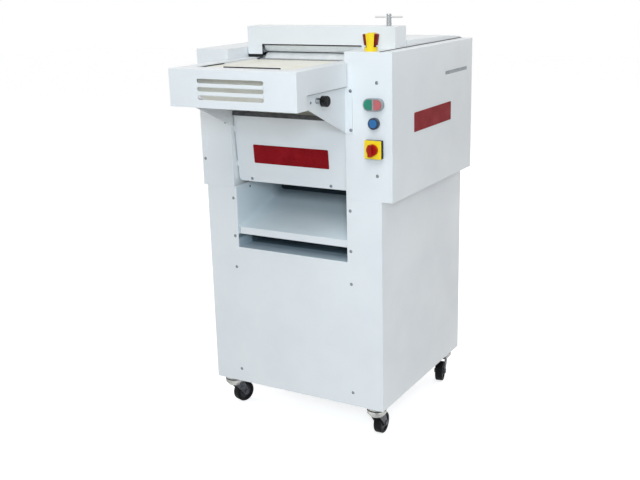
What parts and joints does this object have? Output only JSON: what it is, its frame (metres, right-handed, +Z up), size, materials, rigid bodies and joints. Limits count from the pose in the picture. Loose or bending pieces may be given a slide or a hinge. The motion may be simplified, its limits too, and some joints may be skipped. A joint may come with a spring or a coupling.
{
  "type": "dough moulder",
  "caption": "Floor-standing dough moulder: painted sheet-metal cabinet on swivel casters, felt infeed table, sheeting rollers set by a T-handle, moulding belt, outlet tray and controls.",
  "frame": {"origin": "on the floor, under the middle of the overall box, which runs from the infeed table's front to the head's back", "axes": "+Z up; -Y towards the front, where dough goes in and comes out; +X to the side of the control panel"},
  "size_m": [0.603, 0.797, 1.166],
  "materials": {
    "white_paint": "semi-gloss powder coat",
    "satin_steel": "satin",
    "plated_steel": "polished plate",
    "zinc_steel": "zinc plated",
    "dark_steel": "oiled",
    "roller_metal": "turned",
    "felt": "woven felt",
    "iron": "machined casting",
    "bronze": "turned",
    "motor_metal": "painted casting",
    "black_rubber": "matte",
    "belt_rubber": "matte",
    "wheel_rubber": "satin",
    "black_plastic": "fine grain",
    "grey_plastic": "fine grain",
    "green_plastic": "gloss",
    "red_plastic": "gloss",
    "blue_plastic": "gloss",
    "yellow_plastic": "gloss"
  },
  "bodies": {
    "machine": {"base_side_panels": "white_paint", "base_front_panel": "white_paint", "back_panels": "white_paint", "base_floor": "white_paint", "outlet_liner": "white_paint", "outlet_tray": "white_paint", "head_floor_plates": "white_paint", "frame_plates": "white_paint", "left_side_cover": "white_paint", "left_front_cover": "white_paint", "control_panel": "white_paint", "right_side_cover": "white_paint", "top_plates": "white_paint", "rear_lid": "white_paint", "front_panel": "white_paint", "hood": "white_paint", "infeed_cover": "white_paint", "infeed_rails": "white_paint", "gussets": "white_paint", "slider_beds": "satin_steel", "pressure_board": "satin_steel", "lower_scraper": "satin_steel", "drive_chains": "dark_steel", "cover_screws": "dark_steel", "infeed_belt": "felt", "moulding_belt": "felt", "shaft_bushes": "bronze", "motor_housing": "motor_metal", "hood_foot": "black_rubber", "drive_belt": "belt_rubber", "cable_gland": "black_plastic", "button_bezels": "grey_plastic", "switch_plate": "yellow_plastic", "estop_collar": "yellow_plastic"},
    "lower_roller": {"lower_roller": "plated_steel", "lower_gear": "iron"},
    "upper_roller": {"upper_roller": "plated_steel", "upper_gear": "iron"},
    "roller_yoke": {"yoke": "satin_steel"},
    "gap_handle": {"t_handle": "plated_steel"},
    "infeed_drum": {"infeed_drum": "roller_metal"},
    "infeed_rear_roller": {"infeed_rear_roller": "roller_metal"},
    "moulding_front_roller": {"moulding_front_roller": "roller_metal"},
    "moulding_rear_roller": {"moulding_rear_roller": "roller_metal", "drive_pulley": "iron"},
    "motor_rotor": {"motor_pulley": "iron"},
    "start_button": {"start_button": "green_plastic"},
    "stop_button": {"stop_button": "red_plastic"},
    "reset_button": {"reset_button": "blue_plastic"},
    "estop_button": {"estop_button": "red_plastic"},
    "switch_knob": {"switch_knob": "red_plastic"},
    "clamp_knob": {"clamp_knob": "black_plastic"},
    "caster_front_right": {"caster_fork_front_right": "zinc_steel"},
    "wheel_front_right": {"caster_wheel_front_right": "wheel_rubber"},
    "caster_front_left": {"caster_fork_front_left": "zinc_steel"},
    "wheel_front_left": {"caster_wheel_front_left": "wheel_rubber"},
    "caster_back_right": {"caster_fork_back_right": "zinc_steel"},
    "wheel_back_right": {"caster_wheel_back_right": "wheel_rubber"},
    "caster_back_left": {"caster_fork_back_left": "zinc_steel"},
    "wheel_back_left": {"caster_wheel_back_left": "wheel_rubber"}
  },
  "joints": [
    {"name": "moulding_rear_spin", "type": "hinge", "parent": "machine", "child": "moulding_rear_roller", "pos_m": [0, 0.2815, 0.896], "axis": [1, 0, 0], "continuous": true},
    {"name": "moulding_front_spin", "type": "hinge", "parent": "machine", "child": "moulding_front_roller", "pos_m": [0, -0.0285, 0.896], "axis": [1, 0, 0], "continuous": true},
    {"name": "lower_roller_spin", "type": "hinge", "parent": "machine", "child": "lower_roller", "pos_m": [0, -0.0185, 1.0375], "axis": [1, 0, 0], "continuous": true},
    {"name": "infeed_drum_spin", "type": "hinge", "parent": "machine", "child": "infeed_drum", "pos_m": [0, -0.2965, 1.001], "axis": [1, 0, 0], "continuous": true},
    {"name": "infeed_rear_spin", "type": "hinge", "parent": "machine", "child": "infeed_rear_roller", "pos_m": [0, -0.0765, 1.0227], "axis": [1, 0, 0], "continuous": true},
    {"name": "motor_spin", "type": "hinge", "parent": "machine", "child": "motor_rotor", "pos_m": [0, 0.2815, 0.181], "axis": [1, 0, 0], "continuous": true},
    {"name": "upper_roller_spin", "type": "hinge", "parent": "roller_yoke", "child": "upper_roller", "pos_m": [0, -0.0185, 1.0875], "axis": [1, 0, 0], "continuous": true},
    {"name": "roller_gap", "type": "slide", "parent": "machine", "child": "roller_yoke", "axis": [0, 0, 1], "range_m": [0, 0.005]},
    {"name": "gap_handle_turn", "type": "hinge", "parent": "machine", "child": "gap_handle", "pos_m": [0.2305, -0.0185, 1.135], "axis": [0, 0, -1], "range_deg": [0, 900]},
    {"name": "start_press", "type": "slide", "parent": "machine", "child": "start_button", "axis": [0, 1, 0], "range_m": [0, 0.003], "stiffness_N_per_m": 400},
    {"name": "stop_press", "type": "slide", "parent": "machine", "child": "stop_button", "axis": [0, 1, 0], "range_m": [0, 0.003], "stiffness_N_per_m": 400},
    {"name": "reset_press", "type": "slide", "parent": "machine", "child": "reset_button", "axis": [0, 1, 0], "range_m": [0, 0.003], "stiffness_N_per_m": 400},
    {"name": "estop_press", "type": "slide", "parent": "machine", "child": "estop_button", "axis": [0, 0, -1], "range_m": [0, 0.004], "stiffness_N_per_m": 1500, "springref_m": -0.001},
    {"name": "main_switch_turn", "type": "hinge", "parent": "machine", "child": "switch_knob", "pos_m": [0.2525, -0.1615, 0.8325], "axis": [0, 1, 0], "range_deg": [0, 90]},
    {"name": "clamp_turn", "type": "hinge", "parent": "machine", "child": "clamp_knob", "pos_m": [0.1685, -0.2965, 0.971], "axis": [1, 0, 0], "continuous": true},
    {"name": "caster_front_right_swivel", "type": "hinge", "parent": "machine", "child": "caster_front_right", "pos_m": [0.2335, -0.1145, 0.096], "axis": [0, 0, 1], "continuous": true},
    {"name": "wheel_front_right_spin", "type": "hinge", "parent": "caster_front_right", "child": "wheel_front_right", "pos_m": [0.23242, -0.08352, 0.031], "axis": [0.9994, 0.0349, 0], "continuous": true},
    {"name": "caster_front_left_swivel", "type": "hinge", "parent": "machine", "child": "caster_front_left", "pos_m": [-0.2525, -0.1145, 0.096], "axis": [0, 0, 1], "continuous": true},
    {"name": "wheel_front_left_spin", "type": "hinge", "parent": "caster_front_left", "child": "wheel_front_left", "pos_m": [-0.24292, -0.08502, 0.031], "axis": [0.9511, -0.309, 0], "continuous": true},
    {"name": "caster_back_right_swivel", "type": "hinge", "parent": "machine", "child": "caster_back_right", "pos_m": [0.2335, 0.3575, 0.096], "axis": [0, 0, 1], "continuous": true},
    {"name": "wheel_back_right_spin", "type": "hinge", "parent": "caster_back_right", "child": "wheel_back_right", "pos_m": [0.23994, 0.32718, 0.031], "axis": [-0.9781, -0.2079, 0], "continuous": true},
    {"name": "caster_back_left_swivel", "type": "hinge", "parent": "machine", "child": "caster_back_left", "pos_m": [-0.2525, 0.3575, 0.096], "axis": [0, 0, 1], "continuous": true},
    {"name": "wheel_back_left_spin", "type": "hinge", "parent": "caster_back_left", "child": "wheel_back_left", "pos_m": [-0.25681, 0.3268, 0.031], "axis": [-0.9903, 0.1392, 0], "continuous": true}
  ],
  "couplings": [
    {"joint": "moulding_front_spin", "follows": "moulding_rear_spin", "ratio": 1},
    {"joint": "lower_roller_spin", "follows": "moulding_rear_spin", "ratio": 1},
    {"joint": "infeed_rear_spin", "follows": "moulding_rear_spin", "ratio": 1},
    {"joint": "infeed_drum_spin", "follows": "moulding_rear_spin", "ratio": 0.50115},
    {"joint": "upper_roller_spin", "follows": "moulding_rear_spin", "ratio": -1},
    {"joint": "motor_spin", "follows": "moulding_rear_spin", "ratio": 4.1818},
    {"joint": "gap_handle_turn", "follows": "roller_gap", "rad_per_m": 3141.6}
  ]
}
